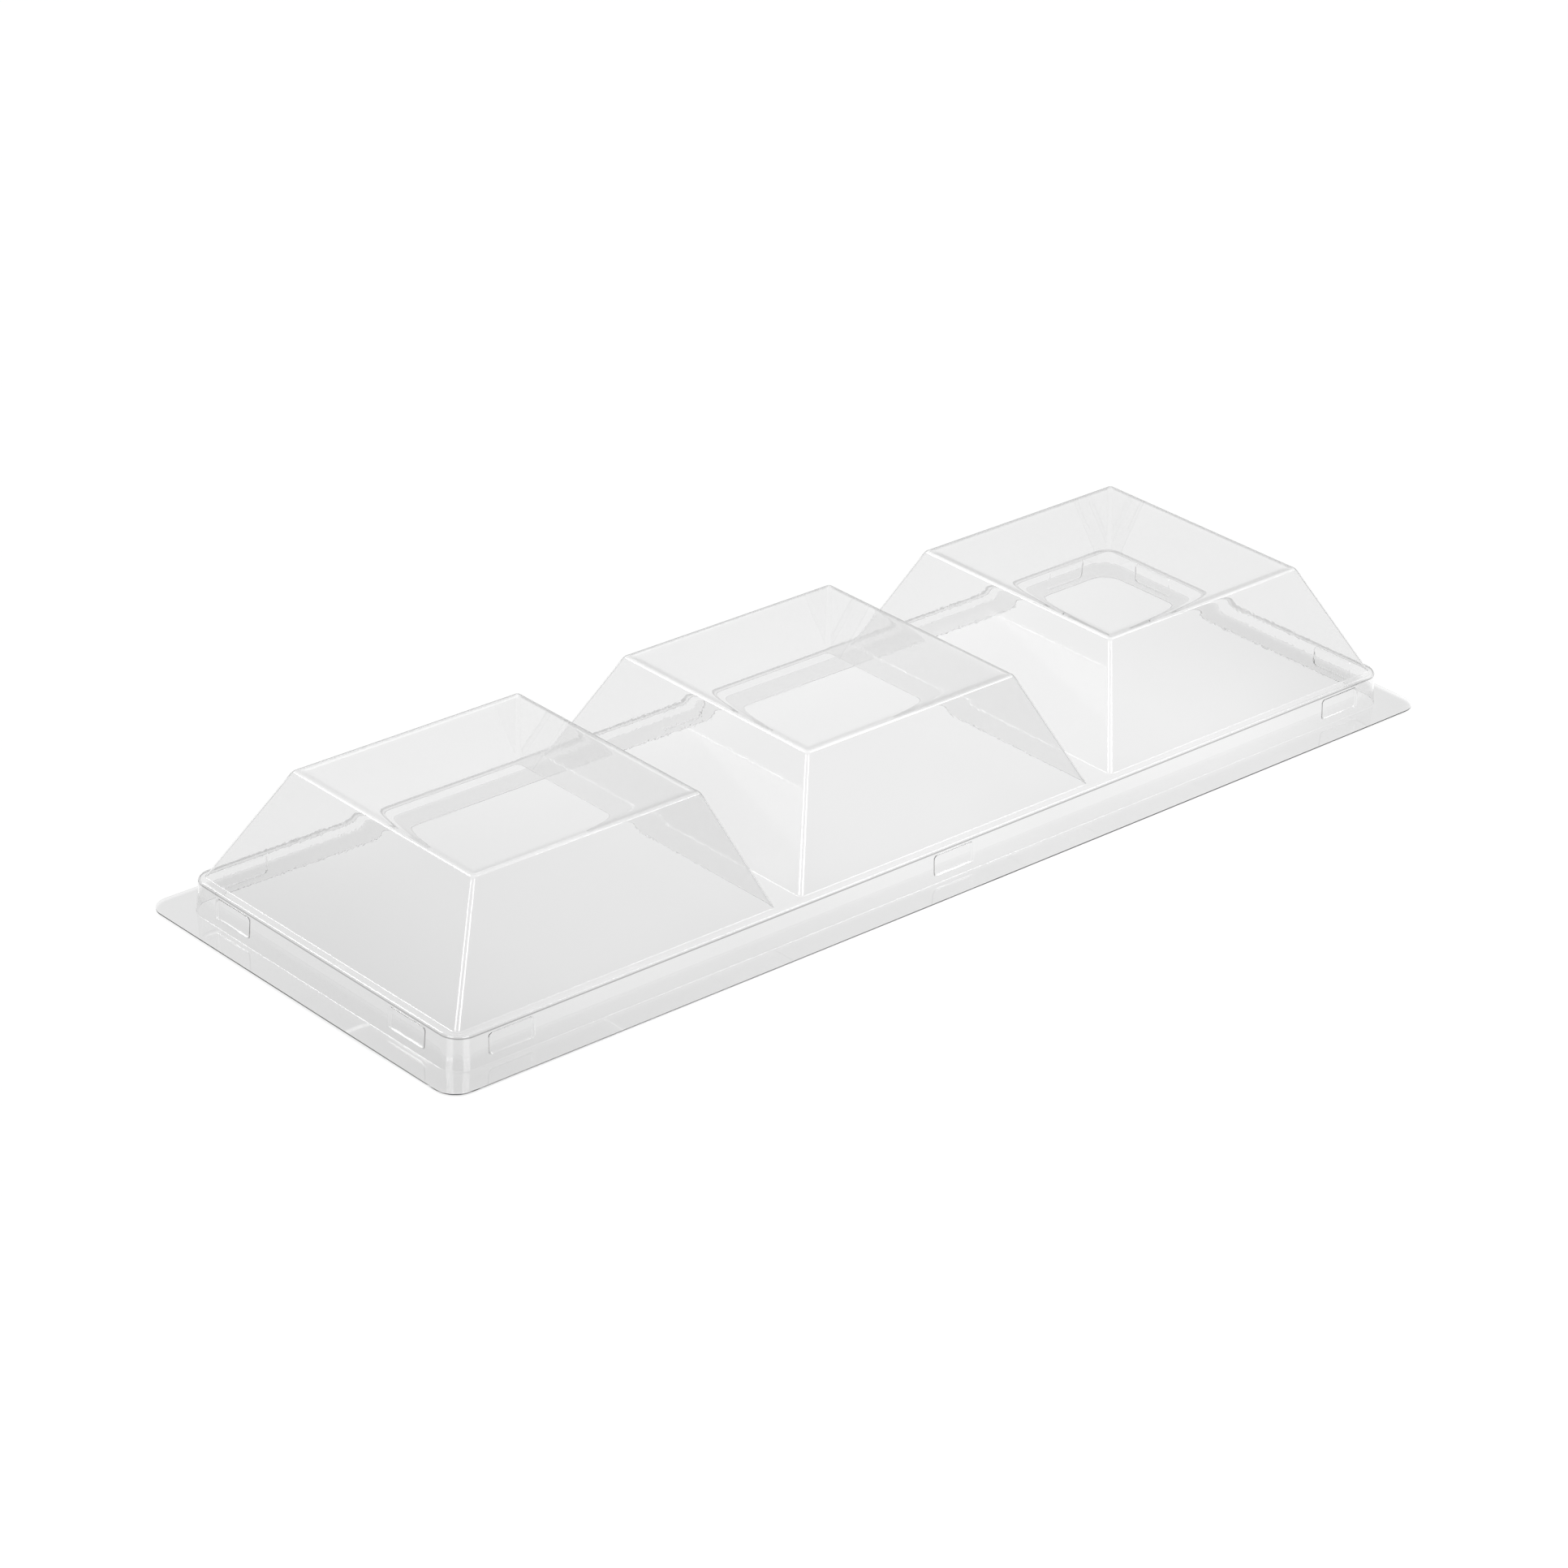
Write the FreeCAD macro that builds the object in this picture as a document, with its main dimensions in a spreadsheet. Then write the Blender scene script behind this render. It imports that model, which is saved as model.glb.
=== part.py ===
import FreeCAD, Part
import math
import os

import Sketcher

# Clear three-bay humidity dome: one thin formed sheet, modelled zone by zone.
#
# Frame: millimetres, +X along the row of domes, +Y to the rear, +Z up.
# The origin is on the underside of the flange, under the middle of the sheet.
#
# From the outside in, the sheet is a flat flange, an upright skirt with snap lugs
# pressed inward, a narrow flat deck and three domes with slanted walls.
# Each zone is a closed solid, and neighbouring zones meet face to face.

DIMENSIONS = [
    ("gauge", 0.5, "thickness of the formed sheet"),
    ("dome_length", 100.0, "length of each dome's foot, along X"),
    ("dome_width", 100.0, "width of each dome's foot, along Y"),
    ("dome_height", 30.0, "height of a dome above the deck"),
    ("dome_gap", 8.0, "flat strip of deck between two dome feet"),
    ("side_run", 14.7, "how far the front and rear walls lean inward"),
    ("middle_run", 14.2, "how far the middle dome's end walls lean inward"),
    ("end_inner_run", 12.3, "lean of an end dome's wall that faces the middle dome"),
    ("end_outer_run", 16.6, "lean of an end dome's outermost wall"),
    ("foot_corner", 3.0, "corner radius of a dome in plan at its foot"),
    ("roof_corner", 2.0, "corner radius of a dome in plan at its roof"),
    ("roof_edge", 1.4, "radius of the bend between a dome's walls and its roof"),
    ("end_margin", 2.3, "deck from an end dome's foot to the skirt"),
    ("side_margin", 2.5, "deck from the domes' feet to the front and rear skirt"),
    ("skirt_height", 9.2, "from the top of the flange to the top of the deck"),
    ("skirt_corner", 5.5, "outer radius of the skirt's corners in plan"),
    ("deck_bend", 1.0, "outer radius of the bend from skirt to deck"),
    ("flange_bend", 0.8, "outer radius of the bend from skirt to flange"),
    ("flange_end", 7.5, "flange width at the two ends"),
    ("flange_side", 8.1, "flange width at the front and rear"),
    ("flange_corner", 6.0, "outer radius of the flange's corners in plan"),
    ("lug_length", 14.0, "length of a snap lug along the wall"),
    ("lug_depth", 1.4, "how deep a snap lug is pressed into the wall"),
    ("lug_corner", 1.5, "outer corner radius of a snap lug"),
    ("lug_floor_bend", 0.4, "radius where a lug's sides meet its floor"),
    ("lug_top_margin", 1.5, "from the top of the deck down to a snap lug"),
    ("lug_foot_margin", 2.2, "from the underside of the flange up to a snap lug"),
    ("lug_end_inset", 16.9, "from the skirt's ends to the middle of the outer front and rear lugs"),
    ("lug_side_inset", 18.1, "from the front and rear skirt to the middle of the end wall lugs"),
]

# Lengths that several zones share, as expressions over the driving dimensions
PITCH = "(dims.dome_length + dims.dome_gap)"
DECK_TOP = "(dims.gauge + dims.skirt_height)"
DECK_UNDERSIDE = "dims.skirt_height"
SKIRT_HALF_LENGTH = f"({PITCH} + dims.dome_length / 2 + dims.end_margin)"
SKIRT_HALF_WIDTH = "(dims.dome_width / 2 + dims.side_margin)"
LUG_TOP = f"({DECK_TOP} - dims.lug_top_margin)"
LUG_HEIGHT = f"({LUG_TOP} - dims.lug_foot_margin)"
LUG_LEVEL = f"(({LUG_TOP} + dims.lug_foot_margin) / 2)"
LUG_REACH = f"({SKIRT_HALF_LENGTH} - dims.lug_end_inset)"
LUG_SPREAD = f"({SKIRT_HALF_WIDTH} - dims.lug_side_inset)"

# How sketch constraints number an element's points, and a sketch's own axis and origin
START, END, CENTRE = 1, 2, 3
LEVEL_AXIS = -1
ORIGIN = (-1, START)

# How closely a face has to lie at a height to count as the face there
FACE_TOLERANCE = 1e-4

# The document and the sheet that drives it

doc = FreeCAD.newDocument("humidity_dome")
dims = doc.addObject("Spreadsheet::Sheet", "dims")
for row, (name, millimetres, meaning) in enumerate(DIMENSIONS, start=1):
    dims.set(f"A{row}", name)
    dims.set(f"B{row}", str(millimetres))
    dims.set(f"C{row}", meaning)
    dims.setAlias(f"B{row}", name)
doc.recompute()


def number(expression):
    """The value of an expression, for drawing a sketch close to its final shape."""
    result = dims.evalExpression(expression)
    return float(getattr(result, "Value", result))


# Helpers for bodies and sketches

def new_body(label):
    body = doc.addObject("PartDesign::Body", label)
    body.Label = label
    return body


def new_sketch(body, name, role, level="0"):
    """A sketch on one of the body's origin planes, raised by level along its normal."""
    plane = next(item for item in body.Origin.OriginFeatures if item.Role == role)
    sketch = body.newObject("Sketcher::SketchObject", name)
    sketch.AttachmentSupport = (plane, [""])
    sketch.MapMode = "FlatFace"
    sketch.setExpression("AttachmentOffset.Base.z", level)
    return sketch


def dimension(sketch, kind, *where, size):
    """Add a dimension constraint whose value is the expression size."""
    index = sketch.addConstraint(Sketcher.Constraint(kind, *where, number(size)))
    sketch.setExpression(f"Constraints[{index}]", size)


def join_smoothly(sketch, chain):
    """Make each element of a closed chain start, in tangent, where the last one ends."""
    for first, second in zip(chain, chain[1:] + chain[:1]):
        sketch.addConstraint(Sketcher.Constraint("Tangent", first, END, second, START))


def arc(centre_x, centre_y, radius, start_degrees, end_degrees):
    circle = Part.Circle(FreeCAD.Vector(centre_x, centre_y, 0), FreeCAD.Vector(0, 0, 1), radius)
    return Part.ArcOfCircle(circle, math.radians(start_degrees), math.radians(end_degrees))


def line(start_x, start_y, end_x, end_y):
    return Part.LineSegment(FreeCAD.Vector(start_x, start_y, 0), FreeCAD.Vector(end_x, end_y, 0))


def rounded_rectangle(sketch, length, width, corner, centre_x="0", centre_y="0"):
    """Draw a rectangle with rounded corners, all its sizes given as expressions."""
    x, y = number(centre_x), number(centre_y)
    half_x, half_y, radius = number(length) / 2, number(width) / 2, number(corner)
    flat_x, flat_y = half_x - radius, half_y - radius
    bottom, right, top, left, *corners = sketch.addGeometry([
        line(x - flat_x, y - half_y, x + flat_x, y - half_y),
        line(x + half_x, y - flat_y, x + half_x, y + flat_y),
        line(x + flat_x, y + half_y, x - flat_x, y + half_y),
        line(x - half_x, y + flat_y, x - half_x, y - flat_y),
        arc(x + flat_x, y - flat_y, radius, 270, 360),
        arc(x + flat_x, y + flat_y, radius, 0, 90),
        arc(x - flat_x, y + flat_y, radius, 90, 180),
        arc(x - flat_x, y - flat_y, radius, 180, 270),
    ])
    sides = [bottom, right, top, left]
    join_smoothly(sketch, [item for pair in zip(sides, corners) for item in pair])
    for side, direction in zip(sides, ["Horizontal", "Vertical", "Horizontal", "Vertical"]):
        sketch.addConstraint(Sketcher.Constraint(direction, side))
    for first, second in zip(corners, corners[1:]):
        sketch.addConstraint(Sketcher.Constraint("Equal", first, second))
    dimension(sketch, "Radius", corners[0], size=corner)
    dimension(sketch, "DistanceX", left, START, right, START, size=length)
    dimension(sketch, "DistanceY", bottom, START, top, START, size=width)
    dimension(sketch, "DistanceX", *ORIGIN, right, START, size=f"{centre_x} + {length} / 2")
    dimension(sketch, "DistanceY", *ORIGIN, top, START, size=f"{centre_y} + {width} / 2")


def add_pad(body, name, sketch, length, reversed_=False):
    pad = body.newObject("PartDesign::Pad", name)
    pad.Profile = sketch
    pad.setExpression("Length", length)
    pad.Reversed = reversed_
    return pad


def cut_through(body, name, sketch):
    """Cut the sketch through the whole body, both ways from its plane."""
    pocket = body.newObject("PartDesign::Pocket", name)
    pocket.Profile = sketch
    pocket.Type = "ThroughAll"
    pocket.Midplane = True
    return pocket


def face_name(shape, wanted):
    """The name of the shape's first face for which wanted(face) is true."""
    return next(f"Face{i}" for i, face in enumerate(shape.Faces, start=1) if wanted(face))


def is_level_at(height):
    """A test for the flat face that lies level at the given height."""
    return lambda face: (
        face.BoundBox.ZLength < FACE_TOLERANCE
        and abs(face.BoundBox.ZMin - height) < FACE_TOLERANCE
    )


def place(body, x="0", y="0", z="0", turn=0):
    """Put a finished body in the frame: position as expressions, turn in degrees about Z."""
    body.Placement = FreeCAD.Placement(
        FreeCAD.Vector(), FreeCAD.Rotation(FreeCAD.Vector(0, 0, 1), turn)
    )
    for axis, expression in zip("xyz", (x, y, z)):
        body.setExpression(f"Placement.Base.{axis}", expression)


# The flange: a flat frame from the skirt's bend to the sheet's trimmed edge

def make_flange_rim():
    body = new_body("flange_rim")
    outline = new_sketch(body, "flange_outline", "XY_Plane")
    rounded_rectangle(
        outline,
        f"2 * ({SKIRT_HALF_LENGTH} + dims.flange_end)",
        f"2 * ({SKIRT_HALF_WIDTH} + dims.flange_side)",
        "dims.flange_corner",
    )
    rounded_rectangle(
        outline,
        f"2 * ({SKIRT_HALF_LENGTH} + dims.flange_bend)",
        f"2 * ({SKIRT_HALF_WIDTH} + dims.flange_bend)",
        "(dims.skirt_corner + dims.flange_bend)",
    )
    add_pad(body, "flange_plate", outline, "dims.gauge")
    return body


# The skirt: a bent strip swept round the deck, with a window for each lug

def draw_skirt_section(sketch):
    """Section at Y = 0: out along the bottom bend, up the wall, in over the top bend."""
    wall, gauge = number(SKIRT_HALF_LENGTH), number("dims.gauge")
    top, low, high = number(DECK_TOP), number("dims.flange_bend"), number("dims.deck_bend")
    elements = sketch.addGeometry([
        arc(wall + low, gauge + low, low, 180, 270),
        line(wall, gauge + low, wall, top - high),
        arc(wall - high, top - high, high, 0, 90),
        line(wall - high, top, wall - high, top - gauge),
        arc(wall - high, top - high, high - gauge, 0, 90),
        line(wall - gauge, top - high, wall - gauge, gauge + low),
        arc(wall + low, gauge + low, low + gauge, 180, 270),
        line(wall + low, 0, wall + low, gauge),
    ])
    (
        low_outer, wall_outer, high_outer, deck_seam,
        high_inner, wall_inner, low_inner, flange_seam,
    ) = elements
    smooth_joints = [
        (low_outer, START, wall_outer, START), (wall_outer, END, high_outer, START),
        (high_inner, START, wall_inner, START), (wall_inner, END, low_inner, START),
    ]
    square_joints = [
        (high_outer, END, deck_seam, START), (deck_seam, END, high_inner, END),
        (low_inner, END, flange_seam, START), (flange_seam, END, low_outer, END),
    ]
    for joint in smooth_joints:
        sketch.addConstraint(Sketcher.Constraint("Tangent", *joint))
    for joint in square_joints:
        sketch.addConstraint(Sketcher.Constraint("Perpendicular", *joint))
    for outer, inner in ((low_outer, low_inner), (high_outer, high_inner)):
        sketch.addConstraint(Sketcher.Constraint("Coincident", outer, CENTRE, inner, CENTRE))
    for upright in (wall_outer, deck_seam, flange_seam):
        sketch.addConstraint(Sketcher.Constraint("Vertical", upright))
    dimension(sketch, "Radius", low_outer, size="dims.flange_bend")
    dimension(sketch, "Radius", high_outer, size="dims.deck_bend")
    dimension(sketch, "DistanceX", *ORIGIN, wall_outer, START, size=SKIRT_HALF_LENGTH)
    dimension(sketch, "DistanceY", *ORIGIN, flange_seam, END, size="dims.gauge")
    dimension(sketch, "DistanceY", *ORIGIN, deck_seam, START, size=DECK_TOP)
    dimension(sketch, "DistanceY", flange_seam, START, flange_seam, END, size="dims.gauge")


def draw_skirt_path(sketch):
    """The skirt wall in plan: a rounded rectangle that starts at the middle of one end."""
    half_x, half_y = number(SKIRT_HALF_LENGTH), number(SKIRT_HALF_WIDTH)
    radius = number("dims.skirt_corner")
    flat_x, flat_y = half_x - radius, half_y - radius
    chain = sketch.addGeometry([
        line(half_x, 0, half_x, flat_y),
        arc(flat_x, flat_y, radius, 0, 90),
        line(flat_x, half_y, -flat_x, half_y),
        arc(-flat_x, flat_y, radius, 90, 180),
        line(-half_x, flat_y, -half_x, -flat_y),
        arc(-flat_x, -flat_y, radius, 180, 270),
        line(-flat_x, -half_y, flat_x, -half_y),
        arc(flat_x, -flat_y, radius, 270, 360),
        line(half_x, -flat_y, half_x, 0),
    ])
    first, rear_right, rear, rear_left, left, front_left, front, front_right, last = chain
    join_smoothly(sketch, list(chain))
    for side in (first, left):
        sketch.addConstraint(Sketcher.Constraint("Vertical", side))
    for side in (rear, front):
        sketch.addConstraint(Sketcher.Constraint("Horizontal", side))
    for corner in (rear_left, front_left, front_right):
        sketch.addConstraint(Sketcher.Constraint("Equal", rear_right, corner))
    sketch.addConstraint(Sketcher.Constraint("PointOnObject", last, END, LEVEL_AXIS))
    dimension(sketch, "Radius", rear_right, size="dims.skirt_corner")
    dimension(sketch, "DistanceX", *ORIGIN, first, START, size=SKIRT_HALF_LENGTH)
    dimension(sketch, "DistanceX", left, START, first, START, size=f"2 * {SKIRT_HALF_LENGTH}")
    dimension(sketch, "DistanceY", *ORIGIN, rear, START, size=SKIRT_HALF_WIDTH)
    dimension(sketch, "DistanceY", front, START, rear, START, size=f"2 * {SKIRT_HALF_WIDTH}")


def make_skirt_wall():
    body = new_body("skirt_wall")
    path = new_sketch(body, "skirt_path", "XY_Plane")
    draw_skirt_path(path)
    section = new_sketch(body, "skirt_section", "XZ_Plane")
    draw_skirt_section(section)
    doc.recompute()

    sweep = body.newObject("PartDesign::AdditivePipe", "skirt_sweep")
    sweep.Profile = section
    sweep.Spine = (path, [f"Edge{i}" for i in range(1, len(path.Shape.Edges) + 1)])

    lug_size = ("dims.lug_length", LUG_HEIGHT, "dims.lug_corner")
    long_side = new_sketch(body, "front_and_rear_windows", "XZ_Plane")
    for centre in (f"-{LUG_REACH}", "0", LUG_REACH):
        rounded_rectangle(long_side, *lug_size, centre, LUG_LEVEL)
    cut_through(body, "front_and_rear_cut", long_side)
    short_side = new_sketch(body, "end_windows", "YZ_Plane")
    for centre in (f"-{LUG_SPREAD}", LUG_SPREAD):
        rounded_rectangle(short_side, *lug_size, centre, LUG_LEVEL)
    cut_through(body, "end_cut", short_side)
    return body


# The deck: the level web that carries the three domes

def make_deck_web():
    body = new_body("deck_web")
    outline = new_sketch(body, "deck_outline", "XY_Plane")
    rounded_rectangle(
        outline,
        f"2 * ({SKIRT_HALF_LENGTH} - dims.deck_bend)",
        f"2 * ({SKIRT_HALF_WIDTH} - dims.deck_bend)",
        "(dims.skirt_corner - dims.deck_bend)",
    )
    for centre in (f"-{PITCH}", "0", PITCH):
        rounded_rectangle(outline, "dims.dome_length", "dims.dome_width", "dims.foot_corner", centre)
    add_pad(body, "deck_plate", outline, "dims.gauge")
    place(body, z=DECK_UNDERSIDE)
    return body


# The domes: hollow, open below, each a foot band and four slanted walls under a flat roof

def wall_inset(run):
    """How far a slanted wall's inner face lies inside its outer face, one gauge lower down."""
    slope = f"({run} / dims.dome_height)"
    return f"dims.gauge * (sqrt(1 + {slope}^2) - {slope})"


def bend_roof(body, name, feature, level, radius):
    """Round all edges of the level face at the given height of a feature."""
    doc.recompute()
    bend = body.newObject("PartDesign::Fillet", name)
    bend.Base = (feature, [face_name(feature.Shape, is_level_at(number(level)))])
    bend.setExpression("Radius", radius)


def make_dome(label, centre, left_run, right_run):
    body = new_body(label)
    left_inset, right_inset, side_inset = (
        wall_inset(run) for run in (left_run, right_run, "dims.side_run")
    )
    foot_length, foot_width = "dims.dome_length", "dims.dome_width"
    roof_length = f"({foot_length} - {left_run} - {right_run})"
    roof_width = f"({foot_width} - 2 * dims.side_run)"
    roof_shift = f"({left_run} - {right_run}) / 2"
    inner_shift = f"({left_inset} - {right_inset}) / 2"

    foot = new_sketch(body, f"{label}_foot", "XY_Plane")
    rounded_rectangle(foot, foot_length, foot_width, "dims.foot_corner")
    roof = new_sketch(body, f"{label}_roof", "XY_Plane", "dims.dome_height")
    rounded_rectangle(roof, roof_length, roof_width, "dims.roof_corner", roof_shift)
    add_pad(body, f"{label}_foot_band", foot, "dims.gauge", reversed_=True)
    walls = body.newObject("PartDesign::AdditiveLoft", f"{label}_walls")
    walls.Profile = foot
    walls.Sections = [roof]
    walls.Ruled = True
    bend_roof(body, f"{label}_roof_bend", walls, "dims.dome_height", "dims.roof_edge")

    mouth = new_sketch(body, f"{label}_mouth", "XY_Plane", "-dims.gauge")
    rounded_rectangle(
        mouth,
        f"({foot_length} - {left_inset} - {right_inset})",
        f"({foot_width} - 2 * {side_inset})",
        "(dims.foot_corner - dims.gauge)",
        inner_shift,
    )
    ceiling = new_sketch(body, f"{label}_ceiling", "XY_Plane", "dims.dome_height - dims.gauge")
    rounded_rectangle(
        ceiling,
        f"({roof_length} - {left_inset} - {right_inset})",
        f"({roof_width} - 2 * {side_inset})",
        "(dims.roof_corner - dims.gauge)",
        f"{roof_shift} + {inner_shift}",
    )
    hollow = body.newObject("PartDesign::SubtractiveLoft", f"{label}_hollow")
    hollow.Profile = mouth
    hollow.Sections = [ceiling]
    hollow.Ruled = True
    bend_roof(
        body, f"{label}_ceiling_bend", hollow,
        "dims.dome_height - dims.gauge", "dims.roof_edge - dims.gauge",
    )
    place(body, x=centre, z=DECK_TOP)
    return body


# The snap lugs: shallow cups pressed inward, each filling its window in the skirt

def make_snap_lug(label, x, y, turn):
    """A cup that opens along -Y before it is turned about Z to face outward."""
    body = new_body(label)
    rim = new_sketch(body, f"{label}_rim", "XZ_Plane")
    rounded_rectangle(rim, "dims.lug_length", LUG_HEIGHT, "dims.lug_corner")
    add_pad(body, f"{label}_block", rim, "(dims.lug_depth + dims.gauge)", reversed_=True)
    mouth = new_sketch(body, f"{label}_mouth", "XZ_Plane")
    rounded_rectangle(
        mouth,
        "(dims.lug_length - 2 * dims.gauge)",
        f"({LUG_HEIGHT} - 2 * dims.gauge)",
        "(dims.lug_corner - dims.gauge)",
    )
    hollow = body.newObject("PartDesign::Pocket", f"{label}_hollow")
    hollow.Profile = mouth
    hollow.setExpression("Length", "dims.lug_depth")
    doc.recompute()

    def is_inner_floor(face):
        box = face.BoundBox
        depth = number("dims.lug_depth")
        return box.YLength < FACE_TOLERANCE and abs(box.YMin - depth) < FACE_TOLERANCE

    bend = body.newObject("PartDesign::Fillet", f"{label}_floor_bend")
    bend.Base = (hollow, [face_name(hollow.Shape, is_inner_floor)])
    bend.setExpression("Radius", "dims.lug_floor_bend")
    place(body, x=x, y=y, z=LUG_LEVEL, turn=turn)
    return body


sub_parts = [make_flange_rim(), make_skirt_wall(), make_deck_web()]

sub_parts.append(make_dome("dome_left", f"-{PITCH}", "dims.end_outer_run", "dims.end_inner_run"))
sub_parts.append(make_dome("dome_middle", "0", "dims.middle_run", "dims.middle_run"))
sub_parts.append(make_dome("dome_right", PITCH, "dims.end_inner_run", "dims.end_outer_run"))

for side, y, turn in (("front", f"-{SKIRT_HALF_WIDTH}", 0), ("rear", SKIRT_HALF_WIDTH, 180)):
    for place_name, x in (("left", f"-{LUG_REACH}"), ("middle", "0"), ("right", LUG_REACH)):
        sub_parts.append(make_snap_lug(f"snap_lug_{side}_{place_name}", x, y, turn))
for side, x, turn in (("left", f"-{SKIRT_HALF_LENGTH}", -90), ("right", SKIRT_HALF_LENGTH, 90)):
    for place_name, y in (("front", f"-{LUG_SPREAD}"), ("rear", LUG_SPREAD)):
        sub_parts.append(make_snap_lug(f"snap_lug_{side}_end_{place_name}", x, y, turn))

# Check every object, then write one file for each sub-part

doc.recompute()
for item in doc.Objects:
    faults = {"Invalid", "Error"} & set(item.State)
    if faults:
        raise RuntimeError(f"{item.Label} is {', '.join(sorted(faults))}")
for body in sub_parts:
    if body.Shape.isNull() or not body.Shape.isValid():
        raise RuntimeError(f"{body.Label} has no valid shape")

os.makedirs("parts", exist_ok=True)
for body in sub_parts:
    body.Shape.exportStep(f"parts/{body.Label}.step")
    box = body.Shape.BoundBox
    print(
        f"{body.Label}: {len(body.Shape.Solids)} solid, {body.Shape.Volume:.1f} mm3, "
        f"{box.XLength:.2f} x {box.YLength:.2f} x {box.ZLength:.2f} mm"
    )
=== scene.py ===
import math

import bpy
import numpy as np
from mathutils import Matrix, Vector
from mathutils.geometry import delaunay_2d_cdt


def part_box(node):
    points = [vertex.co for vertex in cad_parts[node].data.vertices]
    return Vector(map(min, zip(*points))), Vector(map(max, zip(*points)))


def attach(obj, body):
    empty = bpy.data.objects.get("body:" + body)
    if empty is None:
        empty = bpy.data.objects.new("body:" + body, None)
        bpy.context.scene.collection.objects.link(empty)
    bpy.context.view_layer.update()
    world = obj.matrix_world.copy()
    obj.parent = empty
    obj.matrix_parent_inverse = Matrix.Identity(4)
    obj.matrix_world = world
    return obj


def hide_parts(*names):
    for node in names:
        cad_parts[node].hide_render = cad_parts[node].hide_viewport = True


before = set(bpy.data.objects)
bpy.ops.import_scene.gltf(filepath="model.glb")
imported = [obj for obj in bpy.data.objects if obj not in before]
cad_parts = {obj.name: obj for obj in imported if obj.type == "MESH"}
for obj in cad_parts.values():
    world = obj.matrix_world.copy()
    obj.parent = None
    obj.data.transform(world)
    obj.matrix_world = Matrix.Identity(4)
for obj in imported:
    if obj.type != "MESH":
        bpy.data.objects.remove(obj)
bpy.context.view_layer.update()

MM = 0.001

# Driving sizes, in metres. The plan comes from the frame; the rest are sizes of the formed sheet.

# Thickness: the walls are drawn thinner than the flat parts, and the roof edges thinner still
GAUGE = 0.28 * MM
WALL_GAUGE = 0.26 * MM
ROOF_GAUGE = 0.32 * MM
EDGE_THINNING = 0.4
EDGE_THINNING_REACH = 1.8 * MM

# Corner radii in plan
FLANGE_CORNER = 6.0 * MM
SKIRT_CORNER = 5.5 * MM
FOOT_CORNER = 1.4 * MM
ROOF_CORNER = 1.2 * MM
LEAST_CORNER = 0.5 * MM

# Bend radii. A faint curve runs on from the roof bend: its length, and its share of the turn
FLANGE_BEND = 0.25 * MM
DECK_BEND = 0.8 * MM
FOOT_BEND = 0.4 * MM
ROOF_BEND = 1.0 * MM
BEND_TAIL = 1.8 * MM
TAIL_SHARE = 0.16

# How far each wall leans in from its foot to its top
SKIRT_FLARE = 0.6 * MM
SIDE_RUN = 14.7 * MM
MIDDLE_RUN = 14.2 * MM
END_INNER_RUN = 12.3 * MM
END_OUTER_RUN = 16.6 * MM

# Snap lugs: depth in the front, right, rear and left walls, corners, slope and mesh spacing.
# On the back of the sheet they are a little wider.
LUG_DEPTHS = (0.6 * MM, 0.4 * MM, 0.35 * MM, 0.6 * MM)
LUG_CORNER = 1.2 * MM
LUG_SLOPE = 0.7 * MM
LUG_GRID = 0.14 * MM
LUG_BACK_SPREAD = 0.1 * MM
LUG_TO_WALL = 3 * MM

# Unevenness: how fast it fades below a roof edge, the share of that kept smooth, and the
# stretch beside a ridge that stays even
RIPPLE_FADE = 3.0 * MM
RIPPLE_MARGIN = 0.4
RIDGE_MARGIN = 0.6 * MM

# The sheet is bowed: its ends stand up by BOW times the square of their distance from the middle
BOW = 0.012

# A painted dark line of shade below the deck bend, and the slight painted shade that darkens the
# front, right, rear and left walls
SHADE_LINE = 0.16 * MM
SKIRT_PAINTED_SHADES = (0.05, 0.0, 0.0, 0.1)

# Mesh spacing: rows, columns and short rows that hold the flat parts flat beside a bend
HOLD = 0.15 * MM
CORNER_STEPS = 16
HEAD_STEPS = 12
FOOT_STEPS = 7
SKIRT_SIDE_STEPS = (28, 10)
DOME_SIDE_STEPS = 10
SHADE_ROWS = (1.3, 0.65)
FLANGE_RING_SHARES = (0.0, 0.06, 0.25, 0.5, 0.75)
STEEP = math.radians(80)
WALL_ROWS = 9
WALL_ROWS_START = 1.6 * MM
WALL_ROWS_END = 7.0 * MM
ROOF_BEND_ROWS = 9
TAIL_PLACES = np.array([0.2, 0.5, 0.9, 1.4, 2.0, 2.8, 3.8, 5.0]) * MM
EDGE_SAMPLES = 1500
ROOF_GRID = 13
ROOF_GRID_INSET = 1.5 * MM
SHARP_ANGLE = math.radians(50)

# The frame's boxes of the flange, skirt and deck

flange_half = Vector(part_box("flange_rim")[1][:2])
flange_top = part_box("flange_rim")[1][2]
deck_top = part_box("deck_web")[1][2]
skirt_half = Vector((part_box("snap_lug_right_end_front")[1][0],
                     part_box("snap_lug_rear_middle")[1][1]))


# Outlines: a rounded rectangle is walked counter-clockwise in fixed columns, so that
# outlines of any size can be joined column by column.

def side_marks(marks, steps):
    """Marks from -1 to 1 along a side: even steps together with the given extra ones."""
    even = np.linspace(-1, 1, steps + 1)
    extra = [m for m in marks if -1 < m < 1]
    clear = 0.4 / steps
    keep = [m for m in even[1:-1] if all(abs(m - e) > clear for e in extra)]
    return [-1.0] + sorted(keep + extra) + [1.0]


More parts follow.
